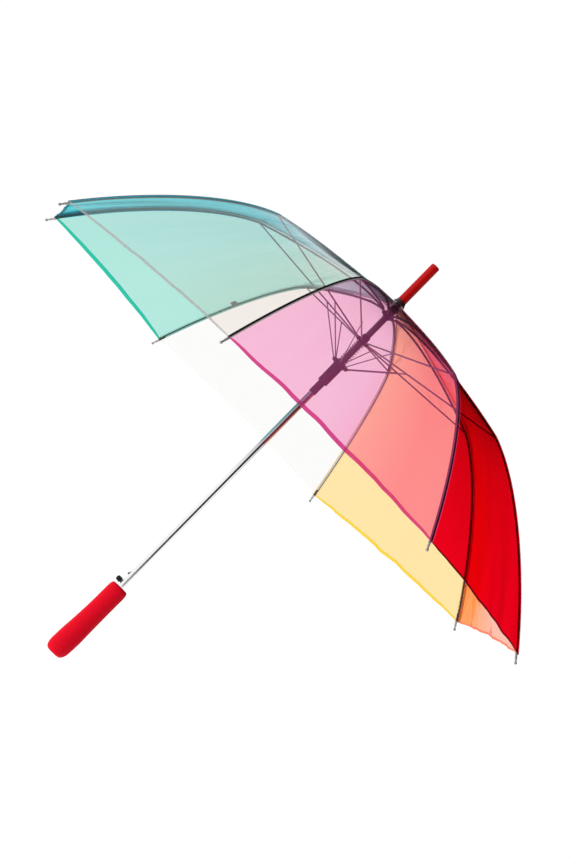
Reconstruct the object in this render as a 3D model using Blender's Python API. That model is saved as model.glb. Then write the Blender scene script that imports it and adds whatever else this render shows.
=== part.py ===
"""Automatic stick umbrella: eight ribs, see-through film in eight colours, push-button release.

Metres, +Z up along the shaft from the handle to the ferrule, origin at the middle of the grip.
Each moving piece has its origin on its joint. Rib n stands at azimuth 45 (n - 1) degrees.
"""
import math

import bmesh
import bpy
from mathutils import Matrix, Vector

RIBS = 8
SECTOR = math.tau / RIBS

# heights
CROWN_Z = 0.6730
GRIP_BOTTOM_Z = -0.0720
GRIP_TOP_Z = 0.0690
FERRULE_TOP_Z = CROWN_Z + 0.0825

# rib linkage: an isosceles triangle notch - joint - upper runner in every rib plane
PIVOT_R = 0.0085
NOTCH_Z = CROWN_Z - 0.0240
RUNNER_Z = CROWN_Z - 0.0800
JOINT_R = 0.2515
JOINT_Z = CROWN_Z - 0.0520
TIP_R = 0.5080
TIP_Z = CROWN_Z - 0.2790

# links of the second runner
LINK_ON_STRETCHER = 0.0770
LINK_PIVOT_R = 0.0135
LOWER_Z = CROWN_Z - 0.1288
LINK_SIDE = 0.0020
LINK_HALF = 0.0005
LINK_DEPTH = 0.0024

# rib channel
RIB_HALF = 0.0015
RIB_WALL = 0.0004
RIB_WEB_UP = 0.0022
RIB_LIP_DOWN = 0.0006
TIP_START = 0.0042
TIP_CAP = 0.0170
TIP_CAP_R = 0.0017
TIP_BALL_R = 0.0023

STRETCHER_HALF = 0.00075
STRETCHER_DEPTH = 0.0026

# tube and collars
SHAFT_R = 0.0050
SHAFT_BORE_R = 0.0044
SHAFT_BOTTOM_Z = -0.0440
SHAFT_TOP_Z = CROWN_Z + 0.0300
BORE_R = 0.00535
CORE_R = 0.0070

# film
FILM_T = 0.0003
FILM_OFF = 0.0031
FILM_EDGE = 0.0005
FILM_HOLE_R = 0.0090
FILM_END = 0.0150
HEM_W = 0.0080
HEM_T = 0.0009
SCALLOP = 0.0040
RING_GAP = 0.0005

# push button and catch
BUTTON_OUT = 0.0108
CATCH_TOP_Z = 0.1015
CATCH_LOW_Z = 0.0912
CATCH_OUT = 0.0076

# closing tab, along the outer half of its rib
TAB_ALONG = 0.1580

PANELS = (
    ("orange", (0.98, 0.62, 0.25)),
    ("yellow", (0.98, 0.90, 0.55)),
    ("clear", (0.96, 0.96, 0.95)),
    ("mint", (0.62, 0.92, 0.85)),
    ("blue", (0.40, 0.78, 0.86)),
    ("smoke", (0.86, 0.82, 0.84)),
    ("pink", (0.98, 0.62, 0.82)),
    ("red", (0.92, 0.02, 0.10)),
)

BLACK = (0.02, 0.02, 0.022)
STEEL = (0.62, 0.63, 0.65)
RED = (0.80, 0.03, 0.04)


def clear_scene():
    for ob in list(bpy.data.objects):
        bpy.data.objects.remove(ob, do_unlink=True)


def material(name, colour, metallic=0.0, roughness=0.5, alpha=1.0):
    mat = bpy.data.materials.new(name)
    mat.use_nodes = True
    shader = mat.node_tree.nodes["Principled BSDF"]
    shader.inputs["Base Color"].default_value = (*colour, 1.0)
    shader.inputs["Metallic"].default_value = metallic
    shader.inputs["Roughness"].default_value = roughness
    shader.inputs["Alpha"].default_value = alpha
    return mat


def add_body(name, points, faces, origin, mat):
    """One closed body with its origin at a point, faces turned outward."""
    origin = Vector(origin)
    mesh = bpy.data.meshes.new(name)
    mesh.from_pydata([Vector(p) - origin for p in points], [], faces)
    bm = bmesh.new()
    bm.from_mesh(mesh)
    bmesh.ops.recalc_face_normals(bm, faces=bm.faces)
    bm.to_mesh(mesh)
    bm.free()
    mesh.materials.append(mat)
    ob = bpy.data.objects.new(name, mesh)
    bpy.context.scene.collection.objects.link(ob)
    ob.location = origin
    return ob


def cut_box(ob, name, low, high):
    """Boolean difference of an axis-aligned box."""
    size = [b - a for a, b in zip(low, high)]
    centre = [(a + b) / 2 for a, b in zip(low, high)]
    mesh = bpy.data.meshes.new(name)
    bm = bmesh.new()
    bmesh.ops.create_cube(bm, size=1.0, matrix=Matrix.Diagonal((*size, 1.0)))
    bm.to_mesh(mesh)
    bm.free()
    cutter = bpy.data.objects.new(name, mesh)
    bpy.context.scene.collection.objects.link(cutter)
    cutter.location = centre
    cutter.hide_render = True
    cutter.display_type = "WIRE"
    mod = ob.modifiers.new(name, "BOOLEAN")
    mod.operation = "DIFFERENCE"
    mod.solver = "EXACT"
    mod.object = cutter


def loft(loops, closed=False):
    """Points and faces through loops of equal count: capped at both ends, or closed into a ring."""
    count = len(loops[0])
    points = [p for loop in loops for p in loop]
    faces = []
    spans = len(loops) if closed else len(loops) - 1
    for i in range(spans):
        a = i * count
        b = (i + 1) % len(loops) * count
        for j in range(count):
            k = (j + 1) % count
            faces.append((a + j, a + k, b + k, b + j))
    if not closed:
        faces.append(tuple(reversed(range(count))))
        last = (len(loops) - 1) * count
        faces.append(tuple(range(last, last + count)))
    return points, faces


def circle(r, z, count, shift=0.0, turn=0.0):
    step = math.tau / count
    return [
        (r * math.cos(turn + i * step) + shift, r * math.sin(turn + i * step), z)
        for i in range(count)
    ]


def slot_angles(core, low, high):
    a = math.asin(low / core)
    b = math.asin(high / core)
    return a, b


def star(z, core, outer, low, high):
    """Toothed outline: at every rib azimuth a slot between two sideways offsets."""
    points = []
    for n in range(RIBS):
        base = n * SECTOR
        for r, side in ((outer, low), (core, low), (core, high), (outer, high)):
            t = base + math.asin(side / r)
            points.append((r * math.cos(t), r * math.sin(t), z))
        t = base + SECTOR / 2
        points.append((outer * math.cos(t), outer * math.sin(t), z))
    return points


def collar(z, r, core, low, high):
    """Round outline with the point order of star()."""
    first, second = slot_angles(core, low, high)
    points = []
    for n in range(RIBS):
        base = n * SECTOR
        spread = math.radians(1.6)
        for t in (first - spread, first, second, second + spread, SECTOR / 2):
            points.append((r * math.cos(base + t), r * math.sin(base + t), z))
    return points


def in_plane(azimuth, r, z, side=0.0):
    c, s = math.cos(azimuth), math.sin(azimuth)
    return (r * c - side * s, r * s + side * c, z)


def bezier(a, b, c, d, t):
    s = 1 - t
    return tuple(
        s * s * s * p + 3 * s * s * t * q + 3 * s * t * t * u + t * t * t * v
        for p, q, u, v in zip(a, b, c, d)
    )


def inner_rib(t):
    """Centre line of a rib, rising from the notch to run just under the film, as (r, z)."""
    start = (PIVOT_R, NOTCH_Z)
    end = (JOINT_R, JOINT_Z)
    return bezier(start, (0.0580, CROWN_Z - 0.0070), (0.1800, CROWN_Z - 0.0338), end, t)


def outer_rib(t):
    """Centre line of a rib from the stretcher joint to its ball end, as (r, z)."""
    start = (JOINT_R, JOINT_Z)
    end = (TIP_R, TIP_Z)
    return bezier(start, (0.3400, JOINT_Z - 0.0354), (0.4480, TIP_Z + 0.0780), end, t)


def walk(curve, steps=200):
    """The curve as points with their running length."""
    pts = [curve(i / steps) for i in range(steps + 1)]
    total = [0.0]
    for a, b in zip(pts, pts[1:]):
        total.append(total[-1] + math.hypot(b[0] - a[0], b[1] - a[1]))
    return pts, total


def at_length(path, s):
    """Point and direction at a running length, extended straight past the ends."""
    pts, total = path
    i = 1
    while i < len(total) - 1 and total[i] < s:
        i += 1
    a, b = pts[i - 1], pts[i]
    span = total[i] - total[i - 1]
    f = (s - total[i - 1]) / span
    d = ((b[0] - a[0]) / span, (b[1] - a[1]) / span)
    return (a[0] + (b[0] - a[0]) * f, a[1] + (b[1] - a[1]) * f), d


INNER = walk(inner_rib)
OUTER = walk(outer_rib)
INNER_LEN = INNER[1][-1]
OUTER_LEN = OUTER[1][-1]


def film_inner(t):
    """Seam of the film from the crown hole to the stretcher joint, as (r, z)."""
    (jr, jz), d = at_length(OUTER, 0.0)
    end = (jr - d[1] * FILM_OFF, jz + d[0] * FILM_OFF)
    start = (FILM_HOLE_R, CROWN_Z - 0.0022)
    return bezier(start, (0.095, CROWN_Z - 0.0170), (end[0] - 0.080, end[1] + 0.0225), end, t)


def film_outer(s):
    (r, z), d = at_length(OUTER, s)
    return (r - d[1] * FILM_OFF, z + d[0] * FILM_OFF)


def section(azimuth, at, d, offsets):
    """Outline across a rib-plane curve: offsets are (sideways, outward from the curve)."""
    loop = []
    for side, up in offsets:
        loop.append(in_plane(azimuth, at[0] - d[1] * up, at[1] + d[0] * up, side))
    return loop


def channel():
    w, t = RIB_HALF, RIB_WALL
    up, down = RIB_WEB_UP, -RIB_LIP_DOWN
    return [
        (-w, down), (-w, up), (w, up), (w, down),
        (w - t, down), (w - t, up - t), (-w + t, up - t), (-w + t, down),
    ]


def round_section(r):
    angles = (205, 140, 40, -25, -50, -75, -105, -130)
    return [(r * math.cos(math.radians(a)), r * math.sin(math.radians(a))) for a in angles]


def tab(scale=1.0):
    w = STRETCHER_HALF * scale
    h = STRETCHER_DEPTH / 2 * scale
    return [
        (-w, -h), (-w, 0.0), (-w, h), (0.0, h), (w, h), (w, 0.0), (w, -h), (0.0, -h),
    ]


def make_rib(n, mat):
    azimuth = n * SECTOR
    loops = []
    for s, kind in ((-0.0009, "tab"), (0.0040, "tab")):
        at, d = at_length(INNER, s)
        loops.append(section(azimuth, at, d, tab_to_channel()))
    stations = (
        0.0070, 0.0200, 0.0340, 0.0500, 0.0700, 0.1050, 0.1450, 0.1850, 0.2180, INNER_LEN,
        INNER_LEN + 0.0010,
    )
    for s in stations:
        at, d = at_length(INNER, s)
        loops.append(section(azimuth, at, d, channel()))
    points, faces = loft(loops)
    return add_body(f"rib_{n + 1}", points, faces, in_plane(azimuth, PIVOT_R, NOTCH_Z), mat)


def tab_to_channel():
    """Flat eye of a rib in the notch, with the point order of channel()."""
    w, h = STRETCHER_HALF, 0.0010
    return [
        (-w, -h), (-w, h), (w, h), (w, -h),
        (w * 0.7, -h), (w * 0.3, -h), (-w * 0.3, -h), (-w * 0.7, -h),
    ]


def make_tip(n, mat):
    azimuth = n * SECTOR
    loops = []
    stop = OUTER_LEN - TIP_CAP
    spans = 9
    for i in range(spans + 1):
        s = TIP_START + (stop - TIP_START) * i / spans
        at, d = at_length(OUTER, s)
        loops.append(section(azimuth, at, d, channel()))
    ball = OUTER_LEN - TIP_BALL_R
    ends = [
        (stop + 0.0006, TIP_CAP_R + 0.0003),
        (stop + 0.0060, TIP_CAP_R),
        (ball - TIP_BALL_R, TIP_CAP_R * 0.8),
        (ball - TIP_BALL_R * 0.5, TIP_BALL_R * 0.87),
        (ball + TIP_BALL_R * 0.3, TIP_BALL_R * 0.95),
        (ball + TIP_BALL_R * 0.9, TIP_BALL_R * 0.40),
    ]
    for s, r in ends:
        at, d = at_length(OUTER, s)
        loops.append(section(azimuth, at, d, round_section(r)))
    points, faces = loft(loops)
    return add_body(f"rib_tip_{n + 1}", points, faces, in_plane(azimuth, JOINT_R, JOINT_Z), mat)


def bar(azimuth, a, b, half, depth, side, extend):
    """Flat bar in a rib plane with rounded ends reaching past both pivots."""
    run = math.hypot(b[0] - a[0], b[1] - a[1])
    d = ((b[0] - a[0]) / run, (b[1] - a[1]) / run)
    h = depth / 2
    loops = []
    stations = (
        (-extend, 0.45), (-extend * 0.5, 0.9), (extend, 1.0),
        (run - extend, 1.0), (run + extend * 0.5, 0.9), (run + extend, 0.45),
    )
    for s, k in stations:
        at = (a[0] + d[0] * s, a[1] + d[1] * s)
        outline = [
            (side - half, -h * k), (side - half, h * k),
            (side + half, h * k), (side + half, -h * k),
        ]
        loops.append(section(azimuth, at, d, outline))
    return loft(loops)


def stretcher_point(s):
    run = math.hypot(JOINT_R - PIVOT_R, JOINT_Z - RUNNER_Z)
    return (PIVOT_R + (JOINT_R - PIVOT_R) * s / run, RUNNER_Z + (JOINT_Z - RUNNER_Z) * s / run)


def make_stretcher(n, mat):
    azimuth = n * SECTOR
    points, faces = bar(
        azimuth, (PIVOT_R, RUNNER_Z), (JOINT_R, JOINT_Z),
        STRETCHER_HALF, STRETCHER_DEPTH, 0.0, 0.0011,
    )
    origin = in_plane(azimuth, JOINT_R, JOINT_Z)
    return add_body(f"stretcher_{n + 1}", points, faces, origin, mat)


def make_link(n, mat):
    azimuth = n * SECTOR
    top = stretcher_point(LINK_ON_STRETCHER)
    low = (LINK_PIVOT_R, LOWER_Z)
    points, faces = bar(azimuth, low, top, LINK_HALF, LINK_DEPTH, LINK_SIDE, 0.0011)
    return add_body(f"link_{n + 1}", points, faces, in_plane(azimuth, *top, LINK_SIDE), mat)


def sheet_body(name, rows, origin, mat):
    """Thin closed body from rows of (outer point, inner point)."""
    across = len(rows[0])
    points = [p for row in rows for p, _ in row] + [q for row in rows for _, q in row]
    back = len(rows) * across
    faces = []
    for i in range(len(rows) - 1):
        for j in range(across - 1):
            a, b = i * across + j, i * across + j + 1
            c, d = b + across, a + across
            faces.append((a, b, c, d))
            faces.append((back + d, back + c, back + b, back + a))
    for j in range(across - 1):
        faces.append((j + 1, j, back + j, back + j + 1))
        a = (len(rows) - 1) * across + j
        faces.append((a, a + 1, back + a + 1, back + a))
    for i in range(len(rows) - 1):
        a, b = i * across, (i + 1) * across
        faces.append((a, b, back + b, back + a))
        a, b = i * across + across - 1, (i + 1) * across + across - 1
        faces.append((b, a, back + a, back + b))
    return add_body(name, points, faces, origin, mat)


def film_point(middle, at, d, u, up):
    """Point of the flat chord between two ribs: u runs -1 to 1, up is along the film normal."""
    r = at[0] - d[1] * up
    z = at[1] + d[0] * up
    deep = r * math.cos(SECTOR / 2)
    wide = r * math.sin(SECTOR / 2) - FILM_EDGE
    return in_plane(middle, deep, z, u * wide)


def film_row(middle, at, d, thick, columns):
    row = []
    for j in range(columns + 1):
        u = 2 * j / columns - 1
        row.append((
            film_point(middle, at, d, u, thick / 2),
            film_point(middle, at, d, u, -thick / 2),
        ))
    return row


FILM_IN = walk(film_inner)
FILM_OUT = walk(lambda t: film_outer(t * (OUTER_LEN - FILM_END)))


def panel_pivot(middle):
    (r, z), _ = at_length(FILM_IN, 0.0)
    return in_plane(middle, r * math.cos(SECTOR / 2), z)


def rim_pivot(middle):
    (r, z), _ = at_length(FILM_OUT, 0.0)
    return in_plane(middle, r * math.cos(SECTOR / 2), z)


def make_panel(n, name, mat):
    """Upper half of one gore, from the crown hole to the ring of stretcher joints."""
    middle = (n + 0.5) * SECTOR
    length = FILM_IN[1][-1] - RING_GAP / 2
    rows = []
    spans = 6
    for i in range(spans + 1):
        at, d = at_length(FILM_IN, length * i / spans)
        rows.append(film_row(middle, at, d, FILM_T, 4))
    return sheet_body(f"panel_{name}", rows, panel_pivot(middle), mat)


def make_rim(n, name, mat):
    """Lower half of one gore with its folded hem, scalloped between two rib tips."""
    middle = (n + 0.5) * SECTOR
    length = FILM_OUT[1][-1]
    columns = 6
    spans = 8
    rows = []
    stations = [(i / spans, 0.0, FILM_T) for i in range(spans)]
    stations += [(1.0, -HEM_W - 0.0004, FILM_T), (1.0, -HEM_W, HEM_T), (1.0, 0.0, HEM_T)]
    for share, back, thick in stations:
        row = []
        for j in range(columns + 1):
            u = 2 * j / columns - 1
            end = length - SCALLOP * (1 - u * u)
            start = RING_GAP / 2
            if back or share == 1.0:
                s = end + back
            else:
                s = start + (end - HEM_W - 0.004 - start) * share
            at, d = at_length(FILM_OUT, s)
            row.append((
                film_point(middle, at, d, u, thick / 2 + (thick - FILM_T) / 2),
                film_point(middle, at, d, u, -FILM_T / 2),
            ))
        rows.append(row)
    return sheet_body(f"panel_{name}_rim", rows, rim_pivot(middle), mat)


def make_shaft(mat):
    count = 16
    loops = [
        circle(SHAFT_R, SHAFT_BOTTOM_Z, count),
        circle(SHAFT_R, SHAFT_TOP_Z, count),
        circle(SHAFT_BORE_R, SHAFT_TOP_Z, count),
        circle(SHAFT_BORE_R, SHAFT_BOTTOM_Z, count),
    ]
    points, faces = loft(loops, closed=True)
    ob = add_body("shaft", points, faces, (0, 0, 0), mat)
    cut_box(
        ob, "foot_window",
        (-0.0080, -0.0018, GRIP_TOP_Z + 0.0038), (-0.0020, 0.0018, GRIP_TOP_Z + 0.0118),
    )
    cut_box(
        ob, "catch_window",
        (-0.0080, -0.0018, CATCH_LOW_Z - 0.0010), (-0.0020, 0.0018, CATCH_TOP_Z + 0.0010),
    )
    return ob


def make_handle(mat):
    """Foam grip: waisted below the top edge, swelling and leaning a little to one side."""
    count = 24
    span = GRIP_TOP_Z - GRIP_BOTTOM_Z
    profile = (
        (0.0, 0.0080), (0.006, 0.0116), (0.021, 0.0142), (0.043, 0.0160), (0.080, 0.0175),
        (0.120, 0.0180), (0.275, 0.0180), (0.355, 0.0175), (0.435, 0.0170), (0.510, 0.0166),
        (0.630, 0.0162), (0.745, 0.0160), (0.900, 0.0160), (0.943, 0.0158), (0.973, 0.0152),
        (0.990, 0.0141), (1.0, 0.0120),
    )
    loops = []
    for f, r in profile:
        lean = -0.0038 * (1 - f) ** 2
        loops.append(circle(r, GRIP_BOTTOM_Z + span * f, count, lean))
    loops.append(circle(BORE_R, GRIP_TOP_Z, count))
    loops.append(circle(BORE_R, SHAFT_BOTTOM_Z - 0.0006, count))
    points, faces = loft(loops)
    return add_body("handle_grip", points, faces, (0, 0, 0), mat)


def make_ferrule(mat):
    count = 20
    z = CROWN_Z + 0.0072
    loops = [
        circle(BORE_R, SHAFT_TOP_Z + 0.0004, count),
        circle(BORE_R, z, count),
        circle(0.0076, z, count),
        circle(0.0075, z + 0.0040, count),
        circle(0.0074, FERRULE_TOP_Z - 0.0024, count),
        circle(0.0071, FERRULE_TOP_Z - 0.0007, count),
        circle(0.0062, FERRULE_TOP_Z, count),
    ]
    points, faces = loft(loops)
    return add_body("ferrule", points, faces, (0, 0, z), mat)


def make_collar(mat):
    count = 20
    z = CROWN_Z
    loops = [
        circle(BORE_R, z + 0.0068, count),
        circle(BORE_R, z, count),
        circle(0.0104, z, count),
        circle(0.0106, z + 0.0010, count),
        circle(0.0092, z + 0.0028, count),
        circle(0.0084, z + 0.0050, count),
        circle(0.0081, z + 0.0068, count),
    ]
    points, faces = loft(loops, closed=True)
    return add_body("crown_collar", points, faces, (0, 0, z), mat)


def make_notch(mat):
    w = 0.0022
    z = NOTCH_Z
    form = (CORE_R + 0.0001, -w, w)
    loops = [
        collar(z + 0.0190, BORE_R, *form),
        collar(z - 0.0055, BORE_R, *form),
        collar(z - 0.0055, CORE_R - 0.0004, *form),
        collar(z - 0.0025, CORE_R - 0.0004, *form),
        star(z - 0.0025, CORE_R + 0.0001, 0.0112, -w, w),
        star(z + 0.0025, CORE_R + 0.0001, 0.0112, -w, w),
        collar(z + 0.0025, CORE_R - 0.0004, *form),
        collar(z + 0.0190, CORE_R - 0.0004, *form),
    ]
    points, faces = loft(loops, closed=True)
    return add_body("top_notch", points, faces, (0, 0, z), mat)


def make_upper_runner(mat):
    w = 0.00135
    z = RUNNER_Z
    form = (CORE_R + 0.0001, -w, w)
    loops = [
        collar(z + 0.0110, BORE_R, *form),
        collar(z - 0.0032, BORE_R, *form),
        collar(z - 0.0032, CORE_R - 0.0004, *form),
        collar(z - 0.0025, CORE_R - 0.0004, *form),
        star(z - 0.0025, CORE_R + 0.0001, 0.0114, -w, w),
        star(z + 0.0025, CORE_R + 0.0001, 0.0114, -w, w),
        collar(z + 0.0025, CORE_R - 0.0004, *form),
        collar(z + 0.0110, CORE_R - 0.0004, *form),
    ]
    points, faces = loft(loops, closed=True)
    return add_body("upper_runner", points, faces, in_plane(0, PIVOT_R, RUNNER_Z), mat)


def make_lower_runner(mat):
    z = LOWER_Z
    low, high = LINK_SIDE - 0.0009, LINK_SIDE + 0.0009
    core = 0.0118
    form = (core, low, high)
    loops = [
        collar(z + 0.0030, BORE_R, *form),
        collar(z - 0.0617, BORE_R, *form),
        collar(z - 0.0617, 0.0061, *form),
        collar(z - 0.0400, 0.0061, *form),
        collar(z - 0.0394, 0.0085, *form),
        collar(z - 0.0060, 0.0087, *form),
        collar(z - 0.0025, 0.0106, *form),
        star(z - 0.0025, core, 0.0148, low, high),
        star(z + 0.0025, core, 0.0148, low, high),
        collar(z + 0.0025, 0.0110, *form),
        collar(z + 0.0030, 0.0100, *form),
    ]
    points, faces = loft(loops, closed=True)
    ob = add_body("lower_runner", points, faces, (0, 0, z), mat)
    cut_box(
        ob, "runner_window",
        (-0.0090, -0.0022, z - 0.0555), (-0.0040, 0.0022, z - 0.0440),
    )
    return ob


def make_spring(mat):
    """Open coil round the shaft between the two runners."""
    top = RUNNER_Z - 0.0042
    low = LOWER_Z + 0.0040
    turns, per_turn, sides = 9, 10, 5
    radius, wire = 0.0072, 0.00065
    loops = []
    for i in range(turns * per_turn + 1):
        t = i / per_turn * math.tau
        z = low + wire + (top - low - 2 * wire) * i / (turns * per_turn)
        loop = []
        for j in range(sides):
            a = j * math.tau / sides
            r = radius + wire * math.cos(a)
            loop.append((r * math.cos(t), r * math.sin(t), z + wire * math.sin(a)))
        loops.append(loop)
    points, faces = loft(loops)
    return add_body("spring", points, faces, (0, 0, low), mat)


def prism(outline, half):
    """Outline of (x, z) points pushed out to both sides along Y."""
    loops = [[(x, y, z) for x, z in outline] for y in (-half, half)]
    return loft(loops)


def make_button(mat):
    x, z = -BUTTON_OUT, GRIP_TOP_Z + 0.0078
    outline = [
        (x + 0.0031, z - 0.0042), (x + 0.0031, z + 0.0042), (x - 0.0026, z + 0.0040),
        (x - 0.0040, z + 0.0020), (x - 0.0040, z - 0.0018), (x - 0.0028, z - 0.0036),
    ]
    points, faces = prism(outline, 0.0036)
    return add_body("button", points, faces, (x, 0, z), mat)


def make_catch(mat):
    """Spring strip inside the tube with the button foot below and the ramped catch above."""
    foot = GRIP_TOP_Z + 0.0020
    inner = -0.0026
    outer = inner - 0.0008
    outline = [
        (inner, foot), (inner, CATCH_TOP_Z), (outer, CATCH_TOP_Z),
        (-CATCH_OUT, CATCH_LOW_Z), (outer, CATCH_LOW_Z),
        (outer, foot + 0.0085), (-0.0075, foot + 0.0085), (-0.0075, foot + 0.0030),
        (outer, foot + 0.0030), (outer, foot),
    ]
    points, faces = prism(outline, 0.0014)
    return add_body("catch", points, faces, (inner, 0, foot), mat)


def make_strap(mat):
    """Closing tab, lying under the film beside one rib."""
    azimuth = 3 * SECTOR
    (r, z), d = at_length(OUTER, TAB_ALONG)
    loops = []
    near, thick = RIB_HALF + 0.0004, 0.0010
    for s, far in ((-0.0060, 0.0078), (-0.0046, 0.0094), (0.0046, 0.0094), (0.0060, 0.0078)):
        at = (r + d[0] * s, z + d[1] * s)
        outline = [(near, -0.0002), (near, 0.0008), (far, -0.0010), (far, -0.0010 - thick)]
        loops.append(section(azimuth, at, d, outline))
    points, faces = loft(loops)
    return add_body("closing_tab", points, faces, in_plane(azimuth, r, z), mat)


def build():
    clear_scene()
    steel = material("black_steel", BLACK, 0.4, 0.4)
    for n in range(RIBS):
        make_rib(n, steel)
        make_tip(n, steel)
        make_stretcher(n, steel)
        make_link(n, steel)
    for n, (name, colour) in enumerate(PANELS):
        film = material(f"film_{name}", colour, 0.0, 0.25, 0.45)
        make_panel(n, name, film)
        make_rim(n, name, film)
    make_shaft(material("chromed_tube", STEEL, 1.0, 0.15))
    make_handle(material("grip_foam", RED, 0.0, 0.6))
    make_ferrule(material("ferrule_red", RED, 0.0, 0.2))
    plastic = material("black_plastic", BLACK, 0.0, 0.4)
    make_collar(plastic)
    make_notch(plastic)
    make_upper_runner(plastic)
    make_lower_runner(plastic)
    make_button(plastic)
    make_spring(material("spring_steel", STEEL, 1.0, 0.3))
    make_catch(material("catch_steel", STEEL, 1.0, 0.35))
    make_strap(material("tab_grey", (0.45, 0.45, 0.44), 0.0, 0.6))


build()
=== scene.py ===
import math

import bmesh
import bpy
from mathutils import Matrix, Vector, noise


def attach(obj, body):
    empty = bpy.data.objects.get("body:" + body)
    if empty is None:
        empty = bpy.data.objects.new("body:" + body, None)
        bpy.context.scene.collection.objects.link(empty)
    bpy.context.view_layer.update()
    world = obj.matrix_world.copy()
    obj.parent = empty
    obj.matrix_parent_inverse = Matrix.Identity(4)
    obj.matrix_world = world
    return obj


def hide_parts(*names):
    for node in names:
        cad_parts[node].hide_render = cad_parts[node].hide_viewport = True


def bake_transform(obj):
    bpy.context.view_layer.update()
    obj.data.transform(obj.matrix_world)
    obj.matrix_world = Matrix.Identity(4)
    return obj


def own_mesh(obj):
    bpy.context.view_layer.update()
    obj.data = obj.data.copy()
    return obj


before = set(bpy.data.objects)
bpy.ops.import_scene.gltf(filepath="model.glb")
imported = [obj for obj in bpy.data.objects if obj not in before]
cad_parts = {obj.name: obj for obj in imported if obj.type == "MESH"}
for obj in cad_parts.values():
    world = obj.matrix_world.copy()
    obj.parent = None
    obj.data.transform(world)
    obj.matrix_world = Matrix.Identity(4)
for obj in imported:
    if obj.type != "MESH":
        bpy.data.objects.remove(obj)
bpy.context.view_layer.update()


RIBS = 8
SECTOR = math.tau / RIBS

# stick
CROWN_Z = 0.6730
SHAFT_R, SHAFT_WALL = 0.0050, 0.0006
SHAFT_LOW_Z, SHAFT_TOP_Z = -0.0440, CROWN_Z + 0.0300
SHAFT_BLACK_Z = 0.5470
GRIP_BOTTOM_Z, GRIP_TOP_Z = -0.0720, 0.0690
GRIP_SWEEP = -0.0038
BUTTON_WINDOW = (GRIP_TOP_Z + 0.0038, GRIP_TOP_Z + 0.0118)
CATCH_WINDOW = (0.0905, 0.1010)
BUTTON_X, BUTTON_Z = -0.0108, GRIP_TOP_Z + 0.0078
FERRULE_TOP_Z = CROWN_Z + 0.0825

# linkage, in the plane of one rib
PIVOT_R = 0.0085
NOTCH_Z = CROWN_Z - 0.0240
RUNNER_Z = CROWN_Z - 0.0800
JOINT_R, JOINT_Z = 0.2515, CROWN_Z - 0.0520
TIP_R, TIP_Z = 0.5080, CROWN_Z - 0.2790
INNER_PULLS = ((0.0580, CROWN_Z - 0.0070), (0.1800, CROWN_Z - 0.0338))
OUTER_PULLS = ((0.3400, JOINT_Z - 0.0354), (0.4480, TIP_Z + 0.0780))
LOWER_Z = CROWN_Z - 0.1288
LINK_ON_STRETCHER = 0.0770
LINK_PIVOT_R = 0.0135
LINK_SIDE = 0.0020
TIP_CAP = 0.0170
SPRING_R, SPRING_WIRE, SPRING_TURNS = 0.0072, 0.00070, 9

# film: distance from the rib's line, hole at the crown, where it ends before the rib's tip
FILM_OFF = 0.0031
FILM_HOLE_R, FILM_HOLE_Z = 0.0090, CROWN_Z - 0.0022
FILM_END = 0.0150
FILM_EDGE = 0.0005
SCALLOP = 0.0040
DIP = 0.0035
HEM_W, HEM_THICK = 0.0080, 0.00055
SEAM_UP, SLEEVE_UP = 0.00055, -0.0037
TAB_RIB, TAB_AT = 3, 0.1580

# name, tint let through near the first rib and near the second, milky colour that also glows as
# painted light, its share, hem tint
FILMS = (
    # orange: the paler peach tint near its first rib is a painted highlight over the orange film
    ("orange", (0.97, 0.50, 0.40), (1.0, 0.31, 0.010), (0.98, 0.50, 0.35), 0.12, (0.93, 0.47, 0.32)),
    ("yellow", (1.0, 0.75, 0.38), (1.0, 0.75, 0.39), (0.98, 0.75, 0.30), 0.05, (0.91, 0.76, 0.16)),
    ("clear", (0.922, 0.92, 0.91), (0.922, 0.92, 0.91), (0.97, 0.96, 0.94), 0.04,
     (0.955, 0.947, 0.933)),
    ("mint", (0.47, 0.79, 0.72), (0.44, 0.77, 0.70), (0.40, 0.85, 0.75), 0.05, (0.085, 0.71, 0.59)),
    ("blue", (0.11, 0.68, 0.82), (0.09, 0.66, 0.80), (0.08, 0.60, 0.76), 0.06, (0.08, 0.47, 0.55)),
    ("smoke", (0.94, 0.95, 0.97), (0.99, 0.91, 0.88), (0.34, 0.60, 0.54), 0.08,
     (0.735, 0.715, 0.715)),
    ("pink", (1.0, 0.64, 0.81), (1.0, 0.41, 0.62), (1.0, 0.16, 0.52), 0.16, (0.83, 0.21, 0.51)),
    ("red", (1.0, 0.002, 0.048), (1.0, 0.002, 0.048), (1.0, 0.002, 0.04), 0.04, (0.43, 0.017, 0.05)),
)
# share of the full hem width, and how strongly the film wrinkles
HEM_SHARE = {"orange": 0.45, "yellow": 0.75, "pink": 1.0, "red": 0.45, "clear": 0.8,
             "mint": 0.95, "blue": 0.7, "smoke": 0.65}
WRINKLES = {"orange": 2.4, "yellow": 1.5, "pink": 0.9, "red": 0.7, "clear": 0.8,
            "mint": 0.35, "blue": 0.4, "smoke": 0.6}

UPRIGHT = Vector((0, 0, 1))


def axes_of(azimuth, elevation):
    """Directions of a view: towards the eye, to its right, and up."""
    a, e = math.radians(azimuth), math.radians(elevation)
    back = Vector((math.cos(e) * math.cos(a), math.cos(e) * math.sin(a), math.sin(e)))
    right = (-back).cross(UPRIGHT).normalized()
    up = right.cross(-back)
    return back, right, up


# camera and floor
BACK, RIGHT, UP = axes_of(-75.421, -4.738)
CENTRE = Vector((0, 0, 0.40))
ROLL = math.radians(44.534)
DISTANCE, SHIFT_RIGHT, SHIFT_UP = 3.3482, 0.01605, 0.01407
LENS = 91.758
FLOOR_Z, FLOOR_HALF = -0.75, 30


# ---------------------------------------------------------------- curves

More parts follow.
